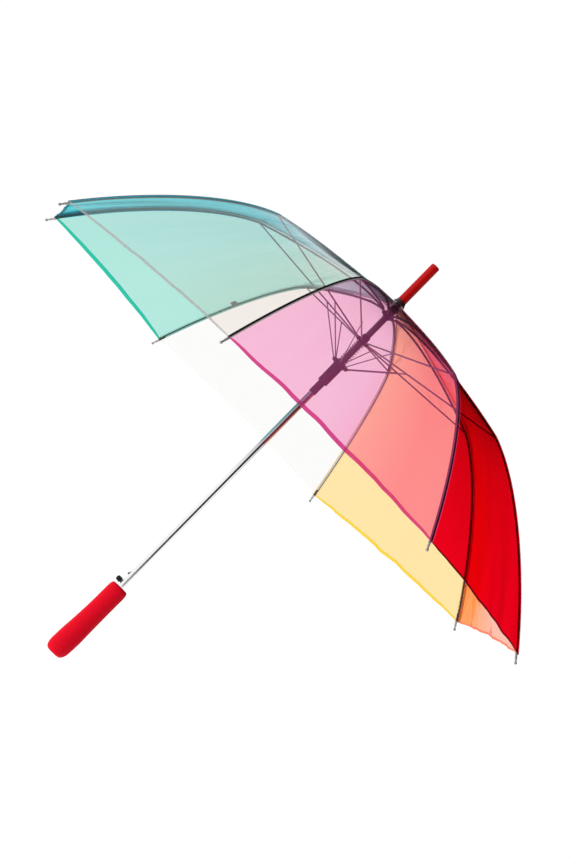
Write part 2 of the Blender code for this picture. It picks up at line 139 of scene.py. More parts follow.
def bezier(a, b, c, d, t):
    """Cubic curve from a to d, pulled towards b and c."""
    s = 1 - t
    return tuple(
        s * s * s * p + 3 * s * s * t * q + 3 * s * t * t * u + t * t * t * v
        for p, q, u, v in zip(a, b, c, d)
    )


def inner_rib(t):
    """Rib from the notch's pivot to the stretcher joint, as (radius, height)."""
    return bezier((PIVOT_R, NOTCH_Z), *INNER_PULLS, (JOINT_R, JOINT_Z), t)


def outer_rib(t):
    """Springy half of the rib, from the stretcher joint to its tip."""
    return bezier((JOINT_R, JOINT_Z), *OUTER_PULLS, (TIP_R, TIP_Z), t)


def walk(curve, steps=300):
    """Points along a curve and the running length at each."""
    pts = [curve(i / steps) for i in range(steps + 1)]
    total = [0.0]
    for a, b in zip(pts, pts[1:]):
        total.append(total[-1] + math.hypot(b[0] - a[0], b[1] - a[1]))
    return pts, total


def at_length(path, s):
    """Point and direction at running length s, carried straight on past either end."""
    pts, total = path
    i = min(max(int(s / total[-1] * (len(pts) - 1)), 1), len(pts) - 1)
    while i < len(total) - 1 and total[i] < s:
        i += 1
    while i > 1 and total[i - 1] > s:
        i -= 1
    a, b = pts[i - 1], pts[i]
    span = total[i] - total[i - 1]
    f = (s - total[i - 1]) / span
    d = ((b[0] - a[0]) / span, (b[1] - a[1]) / span)
    return (a[0] + (b[0] - a[0]) * f, a[1] + (b[1] - a[1]) * f), d


INNER = walk(inner_rib)
OUTER = walk(outer_rib)
INNER_LEN, OUTER_LEN = INNER[1][-1], OUTER[1][-1]


def film_outer(s):
    """Film's line over a rib tip: the rib's own line, moved out by FILM_OFF."""
    (r, z), d = at_length(OUTER, s)
    return (r - d[1] * FILM_OFF, z + d[0] * FILM_OFF)


def film_inner(t):
    """Film's line from the hole under the crown collar to the stretcher joint."""
    (jr, jz), d = at_length(OUTER, 0.0)
    end = (jr - d[1] * FILM_OFF, jz + d[0] * FILM_OFF)
    start = (FILM_HOLE_R, FILM_HOLE_Z)
    return bezier(start, (0.095, CROWN_Z - 0.0170), (end[0] - 0.080, end[1] + 0.0225), end, t)


FILM_IN = walk(film_inner)
FILM_OUT = walk(lambda t: film_outer(t * (OUTER_LEN - FILM_END)))
IN_LEN, OUT_LEN = FILM_IN[1][-1], FILM_OUT[1][-1]
GORE_LEN = IN_LEN + OUT_LEN


def gore_curve(s):
    """Point and direction on the film's line at running length s from the crown."""
    if s <= IN_LEN:
        return at_length(FILM_IN, s)
    return at_length(FILM_OUT, s - IN_LEN)


def in_plane(azimuth, r, z, side=0.0):
    """World point from radius and height in the upright plane at an azimuth."""
    c, s = math.cos(azimuth), math.sin(azimuth)
    return (r * c - side * s, r * s + side * c, z)


# ---------------------------------------------------------------- meshes

def add_mesh(name, points, faces, mat, angle=35.0, uv=None):
    """Smooth-shaded object, sharp where faces meet at more than the angle."""
    mesh = bpy.data.meshes.new(name)
    mesh.from_pydata([tuple(p) for p in points], [], faces)
    bm = bmesh.new()
    bm.from_mesh(mesh)
    bmesh.ops.recalc_face_normals(bm, faces=bm.faces)
    bm.to_mesh(mesh)
    bm.free()
    mesh.polygons.foreach_set("use_smooth", [True] * len(mesh.polygons))
    mesh.set_sharp_from_angle(angle=math.radians(angle))
    if uv:
        layer = mesh.uv_layers.new(name="film")
        for loop in mesh.loops:
            layer.data[loop.index].uv = uv[loop.vertex_index]
    mesh.materials.append(mat)
    ob = bpy.data.objects.new(name, mesh)
    bpy.context.scene.collection.objects.link(ob)
    return ob


def loft(loops, closed=False):
    """Skin over loops of points: a rod with end caps, or a ring when closed."""
    count = len(loops[0])
    points = [p for loop in loops for p in loop]
    faces = []
    spans = len(loops) if closed else len(loops) - 1
    for i in range(spans):
        a = i * count
        b = (i + 1) % len(loops) * count
        for j in range(count):
            k = (j + 1) % count
            faces.append((a + j, a + k, b + k, b + j))
    if not closed:
        faces.append(tuple(reversed(range(count))))
        last = (len(loops) - 1) * count
        faces.append(tuple(range(last, last + count)))
    return points, faces


def circle(r, z, count, x=0.0):
    step = math.tau / count
    return [(x + r * math.cos(i * step), r * math.sin(i * step), z) for i in range(count)]


def section(azimuth, at, d, offsets):
    """Cross-section of (side, up) offsets, square to direction d in a rib's plane."""
    return [in_plane(azimuth, at[0] - d[1] * up, at[1] + d[0] * up, side) for side, up in offsets]


def rod_between(a, b, r, count=12):
    """A short round rod with slightly domed ends."""
    a, b = Vector(a), Vector(b)
    axis = (b - a).normalized()
    side = axis.orthogonal().normalized()
    other = axis.cross(side)
    run = (b - a).length
    loops = []
    for s, k in ((0.0, 0.55), (r * 0.35, 0.9), (r * 0.6, 1.0), (run - r * 0.6, 1.0),
                 (run - r * 0.35, 0.9), (run, 0.55)):
        centre = a + axis * s
        loops.append([
            centre + (side * math.cos(j * math.tau / count) + other * math.sin(j * math.tau / count))
            * r * k for j in range(count)
        ])
    return loft(loops)


def joined(parts):
    """Several (points, faces) pairs as one."""
    points, faces = [], []
    for p, f in parts:
        base = len(points)
        points += list(p)
        faces += [tuple(base + i for i in face) for face in f]
    return points, faces


def wire_loop(radius, wire, turn, z, sides=10):
    """Round section of a wire that runs round the shaft, at angle turn."""
    loop = []
    for j in range(sides):
        a = j * math.tau / sides
        r = radius + wire * math.cos(a)
        loop.append((r * math.cos(turn), r * math.sin(turn), z + wire * math.sin(a)))
    return loop


def wire_ring(radius, z, wire, count=64):
    turns = (i * math.tau / count for i in range(count))
    return loft([wire_loop(radius, wire, turn, z) for turn in turns], closed=True)


def round_edges(ob, width, segments, degrees):
    mod = ob.modifiers.new("edge", "BEVEL")
    mod.width = width
    mod.segments = segments
    mod.limit_method = "ANGLE"
    mod.angle_limit = math.radians(degrees)


# ---------------------------------------------------------------- materials

def set_inputs(nt, n, inputs):
    """Sets or links a node's inputs: a socket is linked, anything else is a constant."""
    for key, value in inputs.items():
        if isinstance(value, bpy.types.NodeSocket):
            nt.links.new(value, n.inputs[key])
        else:
            n.inputs[key].default_value = value


def node(nt, kind, inputs=None, **values):
    n = nt.nodes.new(kind)
    for key, value in values.items():
        setattr(n, key, value)
    set_inputs(nt, n, inputs or {})
    return n


def opaque(colour):
    return (*colour, 1.0)


def new_material(name):
    mat = bpy.data.materials.new(name)
    mat.use_nodes = True
    nt = mat.node_tree
    return mat, nt, nt.nodes["Principled BSDF"], nt.nodes["Material Output"]


def noise_on(nt, scale, detail=4.0, rough=0.55, stretch=None, source=None, distortion=0.0):
    """Noise over the object's own coordinates, or over another vector."""
    vector = source or node(nt, "ShaderNodeTexCoord").outputs["Object"]
    if stretch:
        vector = node(nt, "ShaderNodeMapping", {"Vector": vector, "Scale": stretch}).outputs["Vector"]
    return node(nt, "ShaderNodeTexNoise", {
        "Vector": vector, "Scale": scale, "Detail": detail, "Roughness": rough,
        "Distortion": distortion}).outputs["Fac"]


def ramp(nt, source, stops):
    """Colour ramp; a stop's value is a colour or one grey number."""
    n = node(nt, "ShaderNodeValToRGB", {"Fac": source})
    elements = n.color_ramp.elements
    while len(elements) < len(stops):
        elements.new(0.5)
    for e, (pos, value) in zip(elements, stops):
        e.position = pos
        e.color = opaque(value if isinstance(value, tuple) else (value, value, value))
    return n.outputs["Color"]


def remap(nt, value, low, high, bottom=0.0, top=1.0, kind="LINEAR"):
    return node(nt, "ShaderNodeMapRange", {
        "Value": value, "From Min": low, "From Max": high, "To Min": bottom, "To Max": top},
        interpolation_type=kind).outputs["Result"]


def maths(nt, operation, *values):
    return node(nt, "ShaderNodeMath", dict(enumerate(values)), operation=operation).outputs["Value"]


def mix_colours(nt, factor, a, b, blend="MIX"):
    """Inputs 6 and 7 of the node are its two colours, output 2 the result."""
    return node(nt, "ShaderNodeMix", {"Factor": factor, 6: a, 7: b},
                data_type="RGBA", blend_type=blend).outputs[2]


def mix_shaders(nt, factor, a, b):
    return node(nt, "ShaderNodeMixShader", {"Fac": factor, 1: a, 2: b}).outputs["Shader"]


def bump_of(nt, height, strength, distance):
    return node(nt, "ShaderNodeBump", {
        "Height": height, "Strength": strength, "Distance": distance}).outputs["Normal"]


def plain_material(name, low, high, rough, metallic=0.0, scale=60.0, bump=0.1, depth=0.0002,
                   specular=0.5):
    """A solid finish with broken-up colour, gloss and grain."""
    mat, nt, shader, _ = new_material(name)
    patches = noise_on(nt, scale, 5.0, 0.6)
    grain = noise_on(nt, scale * 6.0, 3.0, 0.5)
    set_inputs(nt, shader, {
        "Base Color": ramp(nt, patches, ((0.3, low), (0.7, high))),
        "Roughness": ramp(nt, patches, ((0.25, rough[0]), (0.75, rough[1]))),
        "Metallic": metallic,
        "Specular IOR Level": specular,
        "Normal": bump_of(nt, grain, bump, depth),
    })
    return mat


def film_material(name, first, second, milk_and_glow, share, bump_by=0.25, milky_glow_spread=0.12, shine=1.0):
    """See-through film: tinted light let through, a milky share that also glows as painted light, and
    gloss that grows at a slant.
    """
    mat, nt, shader, out = new_material(name)
    uv = node(nt, "ShaderNodeUVMap", uv_map="film").outputs["UV"]
    across = node(nt, "ShaderNodeSeparateXYZ", {"Vector": uv}).outputs["X"]
    tint = ramp(nt, across, ((0.45, first), (0.80, second)))
    facing = node(nt, "ShaderNodeLayerWeight", {"Blend": 0.5}).outputs["Facing"]
    # a longer way through the film at a slant deepens the tint
    slant = maths(nt, "POWER", facing, 2.2)
    deeper = mix_colours(nt, slant, tint, tint, "MULTIPLY")
    clear = node(nt, "ShaderNodeBsdfTransparent", {"Color": deeper}).outputs["BSDF"]
    # wrinkles run down the gore
    wrinkle = noise_on(nt, 1.0, 4.0, 0.45, (14.0, 3.0, 1.0), uv, 0.5)
    normal = bump_of(nt, wrinkle, bump_by, 0.003)
    set_inputs(nt, shader, {
        "Base Color": opaque(milk_and_glow),
        "Roughness": 0.6,
        "Specular IOR Level": 0.0,
        # painted light: the milky colour also glows by itself, though the film is no lamp
        "Emission Color": opaque(milk_and_glow),
        "Emission Strength": 0.45,
        "Normal": normal,
    })
    milky_glow_share = remap(nt, wrinkle, 0.3, 0.7, share * (1 - milky_glow_spread), share * (1 + milky_glow_spread))
    body = mix_shaders(nt, milky_glow_share, clear, shader.outputs["BSDF"])
    sheen = mix_colours(nt, 0.8, opaque((1.0, 1.0, 1.0)), tint)
    gloss = node(nt, "ShaderNodeBsdfGlossy", {"Roughness": 0.10, "Color": sheen, "Normal": normal})
    mirror = ramp(nt, facing, tuple((f, v * shine) for f, v in MIRROR))
    surface = mix_shaders(nt, mirror, body, gloss.outputs["BSDF"])
    nt.links.new(surface, out.inputs["Surface"])
    return mat


def shaft_material():
    """Chromed tube, darkened upwards by painted shade under the canopy, and black above the runner's
    stop.
    """
    mat, nt, shader, _ = new_material("chromed_tube")
    tex = node(nt, "ShaderNodeTexCoord").outputs["Object"]
    height = node(nt, "ShaderNodeSeparateXYZ", {"Vector": tex}).outputs["Z"]
    above = remap(nt, height, SHAFT_BLACK_Z - 0.0005, SHAFT_BLACK_Z + 0.0005)
    streaks = noise_on(nt, 60.0, 4.0, 0.6, (1.0, 1.0, 0.06))
    chrome = ramp(nt, streaks, ((0.3, (0.78, 0.78, 0.79)), (0.7, (0.86, 0.86, 0.87))))
    black = ramp(nt, streaks, ((0.3, (0.016, 0.015, 0.016)), (0.7, (0.026, 0.025, 0.026))))
    # painted shade: the chrome is darkened from z 0.30 up to 0.46, under the canopy
    painted_canopy_shade = ramp(nt, height, ((0.30, (1.0, 1.0, 1.0)), (0.46, (0.34, 0.33, 0.32))))
    canopy_shaded_chrome = mix_colours(nt, 1.0, chrome, painted_canopy_shade, "MULTIPLY")
    brushed = remap(nt, noise_on(nt, 240.0, 3.0, 0.5, (1.0, 1.0, 0.05)), 0.0, 1.0, 0.06, 0.14)
    set_inputs(nt, shader, {
        "Base Color": mix_colours(nt, above, canopy_shaded_chrome, black),
        "Metallic": maths(nt, "SUBTRACT", 1.0, above),
        "Roughness": maths(nt, "MULTIPLY_ADD", above, 0.28, brushed),
    })
    return mat


# share of light a film mirrors, from face on to a grazing view
MIRROR = (
    (0.0, 0.02), (0.5, 0.09), (0.65, 0.24), (0.75, 0.42), (0.85, 0.68), (0.93, 0.88), (1.0, 0.98))

BLACK_STEEL = plain_material(
    "black_steel", (0.13, 0.12, 0.122), (0.18, 0.168, 0.17), (0.40, 0.52), 0.3, 180.0)
RIB_STEEL = plain_material(
    "rib_steel", (0.06, 0.058, 0.056), (0.09, 0.088, 0.086), (0.44, 0.56), 0.3, 180.0)
BLACK_PLASTIC = plain_material(
    "black_plastic", (0.008, 0.008, 0.009), (0.016, 0.015, 0.016), (0.45, 0.6), 0.0, 220.0, 0.15,
    specular=0.15)
CHROME = shaft_material()
SILVER = plain_material(
    "tip_silver", (0.26, 0.26, 0.25), (0.40, 0.40, 0.385), (0.30, 0.45), 0.5, 300.0, 0.08)
SPRING_STEEL = plain_material(
    "spring_steel", (0.05, 0.05, 0.053), (0.10, 0.10, 0.104), (0.35, 0.5), 0.6, 400.0, 0.08)
CATCH_STEEL = plain_material(
    "catch_steel", (0.022, 0.022, 0.021), (0.04, 0.04, 0.038), (0.5, 0.65), 0.0, 300.0)
GRIP_RED = plain_material(
    "grip_foam", (0.62, 0.002, 0.012), (0.70, 0.003, 0.018), (0.50, 0.62), 0.0, 260.0, 0.22, 0.0003,
    specular=0.04)
FERRULE_RED = plain_material(
    "ferrule_red", (0.42, 0.001, 0.001), (0.48, 0.002, 0.002), (0.34, 0.42), 0.0, 90.0, 0.0,
    specular=0.12)
COLLAR_DARK = plain_material(
    "collar_dark", (0.035, 0.010, 0.012), (0.055, 0.016, 0.018), (0.25, 0.4), 0.0, 200.0)
TAB_GREY = plain_material(
    "tab_grey", (0.13, 0.12, 0.115), (0.18, 0.165, 0.158), (0.4, 0.6), 0.0, 300.0, 0.2)

FILM_MATS, HEM_MATS, LAP_MATS = {}, {}, {}
for name, first, second, milk_and_glow, share, hem in FILMS:
    FILM_MATS[name] = film_material(f"film_{name}", first, second, milk_and_glow, share)
    lap = tuple(v ** 1.6 for v in second)
    LAP_MATS[name] = film_material(f"lap_{name}", lap, lap, milk_and_glow, max(0.3, share), shine=0.4)
    HEM_MATS[name] = film_material(
        f"hem_{name}", hem, hem, tuple(v * 0.9 for v in hem), 0.20, 0.05, 0.03, 0.25)
# partly the doubled film of the weld, partly painted shade: the dark tint stands in for the rib's
# shadow under it
weld_shade_tint = (0.10, 0.08, 0.085)
SEAM_WELD_SHADE = film_material("seam_weld_painted_shade", weld_shade_tint, weld_shade_tint, (0.02, 0.016, 0.018), 0.2, shine=0.2)


# ---------------------------------------------------------------- film

def film_xyz(middle, s, u):
    """Point on the film between two ribs: s runs down the gore, u from -1 to 1 across it."""
    (r, z), _ = gore_curve(s)
    deep = r * math.cos(SECTOR / 2)
    wide = r * math.sin(SECTOR / 2) - FILM_EDGE
    return Vector(in_plane(middle, deep, z, u * wide))


def film_normal(middle, s):
    _, d = gore_curve(s)
    return Vector(in_plane(middle, -d[1], d[0]))


def gore_end(u):
    """Where the gore ends at u across it: its rim dips in slightly between the ribs."""
    return GORE_LEN - SCALLOP * (1 - u * u)


def hem_width(name, u):
    """Hems are narrow where they meet the ribs and widest halfway."""
    return HEM_W * HEM_SHARE[name] * (0.34 + 0.66 * (1 - u * u) ** 0.5)


def wrinkle_of(name, index, u, s):
    """Height of the film above its flat chord: a shallow stretch dip and wrinkles near the hem."""
    across = 1 - u * u
    v = s / GORE_LEN
    dip = -DIP * math.sin(math.pi * v) * across
    near_hem = max(0.0, (v - 0.62) / 0.38) ** 2
    seed = index * 3.1
    fold = noise.noise(Vector((u * 5.0 + v * 1.4, v * 2.2, seed)))
    fine = noise.noise(Vector((u * 11.0 - v * 2.0, v * 4.0, seed + 7.0)))
    waves = near_hem * (fold * 0.0030 + fine * 0.0012) + fold * 0.0006
    return dip + across ** 0.5 * WRINKLES[name] * waves


def grid_faces(rows, columns):
    faces = []
    for i in range(rows):
        for j in range(columns):
            a = i * (columns + 1) + j
            faces.append((a, a + 1, a + columns + 2, a + columns + 1))
    return faces


def make_sheet(name, index, low, high, rows, columns=28):
    """One film piece of a gore from running length low to high, or to the hem if high is None."""
    middle = (index + 0.5) * SECTOR
    points, uv = [], []
    for i in range(rows + 1):
        for j in range(columns + 1):
            u = 2 * j / columns - 1
            top = gore_end(u) - hem_width(name, u) * 0.9 if high is None else high
            s = low + (top - low) * i / rows
            lift = wrinkle_of(name, index, u, s)
            points.append(film_xyz(middle, s, u) + film_normal(middle, s) * lift)
            uv.append((j / columns, s / GORE_LEN))
    return points, grid_faces(rows, columns), uv


def make_gore(index, name):
    """Inner and rim film of one gore with its hem."""
    middle = (index + 0.5) * SECTOR
    film = FILM_MATS[name]
    points, faces, uv = make_sheet(name, index, 0.0, IN_LEN, 22)
    inner = add_mesh(f"film_{name}", points, faces, film, angle=180.0, uv=uv)
    points, faces, uv = make_sheet(name, index, IN_LEN, None, 30)
    outer = add_mesh(f"film_{name}_rim", points, faces, film, angle=180.0, uv=uv)
    hem = make_hem(index, name, middle)
    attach(inner, f"panel_{name}")
    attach(outer, f"panel_{name}_rim")
    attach(hem, f"panel_{name}_rim")
    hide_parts(f"panel_{name}")
    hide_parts(f"panel_{name}_rim")
    anchor = film_xyz(middle, IN_LEN * 0.5, 0.0)
    for ob in (inner, outer, hem):
        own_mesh(ob)


def make_hem(index, name, middle):
    """The folded band along the rim, a flattened tube with a rolled outer lip."""
    columns = 44
    outline = (
        (-1.0, 0.35), (-0.75, 0.75), (0.0, 0.9), (0.72, 1.15), (0.95, 0.8), (1.0, 0.0),
        (0.95, -0.8), (0.72, -1.15), (0.0, -0.9), (-0.75, -0.75), (-1.0, -0.35),
    )
    loops, uv = [], []
    for j in range(columns + 1):
        u = 2 * j / columns - 1
        end = gore_end(u)
        half = hem_width(name, u) / 2
        loop = []
        for along, high in outline:
            s = end - half + along * half
            lift = wrinkle_of(name, index, u, s)
            lift = film_normal(middle, s) * (lift + high * HEM_THICK)
            loop.append(film_xyz(middle, s, u * 0.999) + lift)
            uv.append((j / columns, s / GORE_LEN))
        loops.append(loop)
    points, faces = loft(loops)
    return add_mesh(f"hem_{name}", points, faces, HEM_MATS[name], angle=60.0, uv=uv)


# ---------------------------------------------------------------- ribs and linkage

def channel():
    """Folded steel channel, open below: half width w, wall t, from down to up, corners soft."""
    w, t, up, down, soft = 0.0014, 0.0004, 0.0022, -0.0006, 0.0005
    return [
        (-w, down), (-w, up - soft), (-w + soft * 0.3, up - soft * 0.3), (-w + soft, up),
        (w - soft, up), (w - soft * 0.3, up - soft * 0.3), (w, up - soft), (w, down),
        (w - t, down), (w - t, up - t - soft * 0.3), (w - t - soft * 0.4, up - t),
        (-w + t + soft * 0.4, up - t), (-w + t, up - t - soft * 0.3), (-w + t, down),
    ]


def eye_section():
    """Oval section of the pinched rib end, with as many points as the channel."""
    w, h = 0.0007, 0.0010
    ring = []
    for k in range(14):
        a = math.radians(215 - k * 360 / 14)
        ring.append((w * 1.25 * math.cos(a), h * 1.2 * math.sin(a)))
    return ring


def make_rib(index):
    """Rib from its eye in the notch to the silver cap, bending at the stretcher joint."""
    azimuth = index * SECTOR
    loops = []
    for s in (-0.0010, 0.0010, 0.0040):
        at, d = at_length(INNER, s)
        loops.append(section(azimuth, at, d, eye_section()))
    s = 0.0070
    while s < INNER_LEN - 0.004:
        at, d = at_length(INNER, s)
        loops.append(section(azimuth, at, d, channel()))
        s += 0.007
    stop = OUTER_LEN - TIP_CAP
    for i in range(34):
        at, d = at_length(OUTER, stop * i / 33)
        loops.append(section(azimuth, at, d, channel()))
    points, faces = loft(loops)
    rib = add_mesh(f"rib_steel_{index + 1}", points, faces, RIB_STEEL)
    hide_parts(f"rib_{index + 1}", f"rib_tip_{index + 1}")
    on_rib(rib)


def ball_section(r):
    count = 20
    return [(r * math.cos(j * math.tau / count), r * math.sin(j * math.tau / count))
            for j in range(count)]


def make_cap(index):
    """Silver cap pressed on the rib end, with its collar and ball."""
    azimuth = index * SECTOR
    stop = OUTER_LEN - TIP_CAP
    ball, r = OUTER_LEN - 0.0023, 0.0023
    stations = [
        (-0.0010, 0.0017), (-0.0006, 0.0021), (0.0030, 0.0021), (0.0034, 0.0018),
        (0.0060, 0.0017), (0.0064, 0.0020), (0.0072, 0.0020), (0.0076, 0.0016),
        (TIP_CAP - 0.0050, 0.0013),
    ]
    loops = []
    for s, radius in stations:
        at, d = at_length(OUTER, stop + s)
        loops.append(section(azimuth, at, d, ball_section(radius)))
    for k in range(9):
        a = math.radians(-55 + k * 143 / 8)
        at, d = at_length(OUTER, ball + r * math.sin(a))
        loops.append(section(azimuth, at, d, ball_section(r * math.cos(a))))
    points, faces = loft(loops)
    cap = add_mesh(f"rib_cap_{index + 1}", points, faces, SILVER)
    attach(cap, f"rib_tip_{index + 1}")


def strip(azimuth, sides, up, low, high, rows):
    """Band of film following the rib's top line from running length low to high."""
    points, uv = [], []
    for i in range(rows + 1):
        s = low + (high - low) * i / rows
        (r, z), d = gore_curve(s)
        for side in sides:
            side *= min(1.0, r * 60.0 + 0.25)
            lift = up - abs(side) * math.tan(SECTOR / 2) * abs(d[1])
            points.append(Vector(in_plane(azimuth, r - d[1] * lift, z + d[0] * lift, side)))
            uv.append((0.5, s / GORE_LEN))
    return points, grid_faces(rows, len(sides) - 1), uv


def make_seam(index):
    """Weld of two gores over the rib, darkened as painted shade of the rib under it, with the lap of
    one gore lying on the next.
    """
    azimuth = index * SECTOR
    sides = (-0.0017, -0.0010, 0.0, 0.0010, 0.0017, 0.0028, 0.0038)
    points, faces, uv = strip(azimuth, sides, SEAM_UP, 0.0, GORE_LEN - 0.0004, 70)
    seam = add_mesh(f"seam_{index + 1}", points, faces, SEAM_WELD_SHADE, angle=180.0, uv=uv)
    seam.data.materials.append(LAP_MATS[FILMS[index - 1][0]])
    for f, polygon in enumerate(seam.data.polygons):
        polygon.material_index = 1 if f % (len(sides) - 1) > 3 else 0
    return seam


def make_sleeve(index):
    """Strips of film welded over the rib's open side, on both sides of the stretcher joint."""
    azimuth = index * SECTOR
    sides = (-0.0014, -0.0007, 0.0, 0.0007, 0.0014)
    parts, uvs = [], []
    runs = ((0.050, INNER_LEN - 0.016, 26), (INNER_LEN + 0.012, GORE_LEN - 0.016, 34))
    for low, high, rows in runs:
        points, faces, uv = strip(azimuth, sides, SLEEVE_UP, low, high, rows)
        parts.append((points, faces))
        uvs += uv
    points, faces = joined(parts)
    mat = LAP_MATS[FILMS[index][0]]
    return add_mesh(f"sleeve_{index + 1}", points, faces, mat, angle=180.0, uv=uvs)


def on_rib(ob):
    """Bakes the piece's placement into its mesh; points near the rib's bend are found but not used.
    """
    near, _ = at_length(INNER, INNER_LEN - 0.012)
    far, _ = at_length(OUTER, 0.012)
    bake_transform(ob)


def flat_section(side, half, h):
    """Flat bar's section with softened corners."""
    k = 0.35 * min(half, h)
    return [
        (side - half, -h + k), (side - half, h - k), (side - half + k, h), (side + half - k, h),
        (side + half, h - k), (side + half, -h + k), (side + half - k, -h), (side - half + k, -h),
    ]


def make_arm(name, azimuth, a, b, half, depth, side, mat, eye):
    """Flat bar with rounded, slightly wider eyes at both pivots."""
    run = math.hypot(b[0] - a[0], b[1] - a[1])
    d = ((b[0] - a[0]) / run, (b[1] - a[1]) / run)
    loops = []
    stations = [(-eye, 0.35), (-eye * 0.8, 0.7), (-eye * 0.3, 1.0), (eye * 0.8, 1.02),
                (eye * 1.6, 0.9), (eye * 3.0, 0.82)]
    stations += [(run - s, k) for s, k in reversed(stations)]
    for s, k in stations:
        at = (a[0] + d[0] * s, a[1] + d[1] * s)
        loops.append(section(azimuth, at, d, flat_section(side, half, depth / 2 * k)))
    points, faces = loft(loops)
    return add_mesh(name, points, faces, mat)


def stretcher_point(s):
    """Point on the stretcher's line at length s from the upper runner's pivot."""
    run = math.hypot(JOINT_R - PIVOT_R, JOINT_Z - RUNNER_Z)
    return (PIVOT_R + (JOINT_R - PIVOT_R) * s / run, RUNNER_Z + (JOINT_Z - RUNNER_Z) * s / run)


def rivet(name, azimuth, r, z, low, high, radius, body):
    """Pin across a joint, square to the rib's plane."""
    points, faces = rod_between(
        in_plane(azimuth, r, z, low), in_plane(azimuth, r, z, high), radius)
    ob = add_mesh(name, points, faces, SILVER)
    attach(ob, body)


def make_linkage(index):
    """Stretcher, link and their rivets on one rib."""
    azimuth = index * SECTOR
    n = index + 1
    arm = make_arm(f"stretcher_arm_{n}", azimuth, (PIVOT_R, RUNNER_Z), (JOINT_R, JOINT_Z),
                   0.00075, 0.0028, 0.0, BLACK_STEEL, 0.0012)
    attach(arm, f"stretcher_{n}")
    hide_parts(f"stretcher_{n}")
    top = stretcher_point(LINK_ON_STRETCHER)
    link = make_arm(f"link_arm_{n}", azimuth, (LINK_PIVOT_R, LOWER_Z), top,
                    0.0005, 0.0022, LINK_SIDE, BLACK_STEEL, 0.0011)
    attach(link, f"link_{n}")
    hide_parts(f"link_{n}")
    rivet(f"joint_rivet_{n}", azimuth, JOINT_R, JOINT_Z, -0.0024, 0.0024, 0.0009, f"rib_{n}")
    rivet(f"link_rivet_{n}", azimuth, *top, -0.0013, 0.0030, 0.0008, f"stretcher_{n}")


# ---------------------------------------------------------------- stick

def make_shaft():
    """Chromed tube with windows for the button's foot and the catch."""
    count = 72
    levels = [SHAFT_LOW_Z, *BUTTON_WINDOW, *CATCH_WINDOW, 0.14, 0.25, 0.4, 0.55, SHAFT_TOP_Z]
    points, faces = [], []
    for z in levels:
        points += circle(SHAFT_R, z, count)
    half = count // 2
    for i in range(len(levels) - 1):
        cut = levels[i] in (BUTTON_WINDOW[0], CATCH_WINDOW[0])
        for j in range(count):
            if cut and half - 4 <= j < half + 4:
                continue
            k = (j + 1) % count
            faces.append((i * count + j, i * count + k, (i + 1) * count + k, (i + 1) * count + j))
    ob = add_mesh("chromed_shaft", points, faces, CHROME)
    wall = ob.modifiers.new("wall", "SOLIDIFY")
    wall.thickness = SHAFT_WALL
    wall.offset = -1.0
    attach(ob, "stick")
    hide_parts("shaft")


def make_handle():
    """Turned grip, slightly waisted, with a rounded end that sweeps to one side."""
    count = 72
    span = GRIP_TOP_Z - GRIP_BOTTOM_Z
    profile = (
        (0.0, 0.0050), (0.0, 0.0080), (0.003, 0.0101), (0.008, 0.0120), (0.017, 0.0136),
        (0.030, 0.0150), (0.048, 0.0163), (0.075, 0.0174), (0.115, 0.0180), (0.190, 0.0181),
        (0.275, 0.0180), (0.355, 0.0175), (0.435, 0.0170), (0.510, 0.0166), (0.630, 0.0162),
        (0.745, 0.0160), (0.900, 0.0160), (0.940, 0.0158), (0.966, 0.0154), (0.984, 0.0145),
        (0.995, 0.0132), (1.0, 0.0117), (1.0, 0.0062), (0.985, 0.0054),
    )
    loops = []
    for f, r in profile:
        loops.append(circle(r, GRIP_BOTTOM_Z + span * f, count, GRIP_SWEEP * (1 - f) ** 2))
    points, faces = loft(loops)
    ob = add_mesh("grip", points, faces, GRIP_RED, angle=70.0)
    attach(ob, "stick")
    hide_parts("handle_grip")


def make_ferrule():
    """Red end cap and the dark flared washer that pins the film down at the crown."""
    count = 64
    z = CROWN_Z + 0.0072
    top = FERRULE_TOP_Z
    profile = (
        (0.0060, z + 0.0003), (0.0070, z), (0.0076, z + 0.0006), (0.0076, z + 0.0030),
        (0.0075, z + 0.0060), (0.0074, top - 0.0100), (0.0074, top - 0.0026),
        (0.0072, top - 0.0012), (0.0067, top - 0.0003), (0.0058, top),
    )
    loops = [circle(r, h, count) for r, h in profile]
    points, faces = loft(loops)
    ob = add_mesh("ferrule_cap", points, faces, FERRULE_RED)
    # its mirror image in the film would read as a stray red patch
    ob.visible_glossy = False
    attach(ob, "stick")
    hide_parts("ferrule")
    z = CROWN_Z
    profile = (
        (0.0056, z + 0.0068), (0.0056, z), (0.0102, z), (0.0106, z + 0.0005), (0.0105, z + 0.0012),
        (0.0097, z + 0.0022), (0.0089, z + 0.0036), (0.0084, z + 0.0052), (0.0082, z + 0.0064),
        (0.0079, z + 0.0068),
    )
    points, faces = loft([circle(r, h, count) for r, h in profile], closed=True)
    collar = add_mesh("crown_washer", points, faces, COLLAR_DARK)
    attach(collar, "stick")
    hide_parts("crown_collar")


def make_spring():
    """Coil spring between the runners, riding on the lower runner."""
    top, low = RUNNER_Z - 0.0042, LOWER_Z + 0.0040
    per_turn = 40
    total = SPRING_TURNS * per_turn
    loops = []
    for i in range(total + 1):
        t = i / per_turn * math.tau
        f = i / total
        # the end turns lie nearly flat
        f = min(max((f - 0.06) / 0.88, 0.0), 1.0) * 0.94 + 0.03 + (f - 0.5) * 0.03
        z = low + SPRING_WIRE + (top - low - 2 * SPRING_WIRE) * f
        loops.append(wire_loop(SPRING_R, SPRING_WIRE, t, z))
    points, faces = loft(loops)
    ob = add_mesh("coil_spring", points, faces, SPRING_STEEL)
    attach(ob, "lower_runner")
    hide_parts("spring")
    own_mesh(ob)


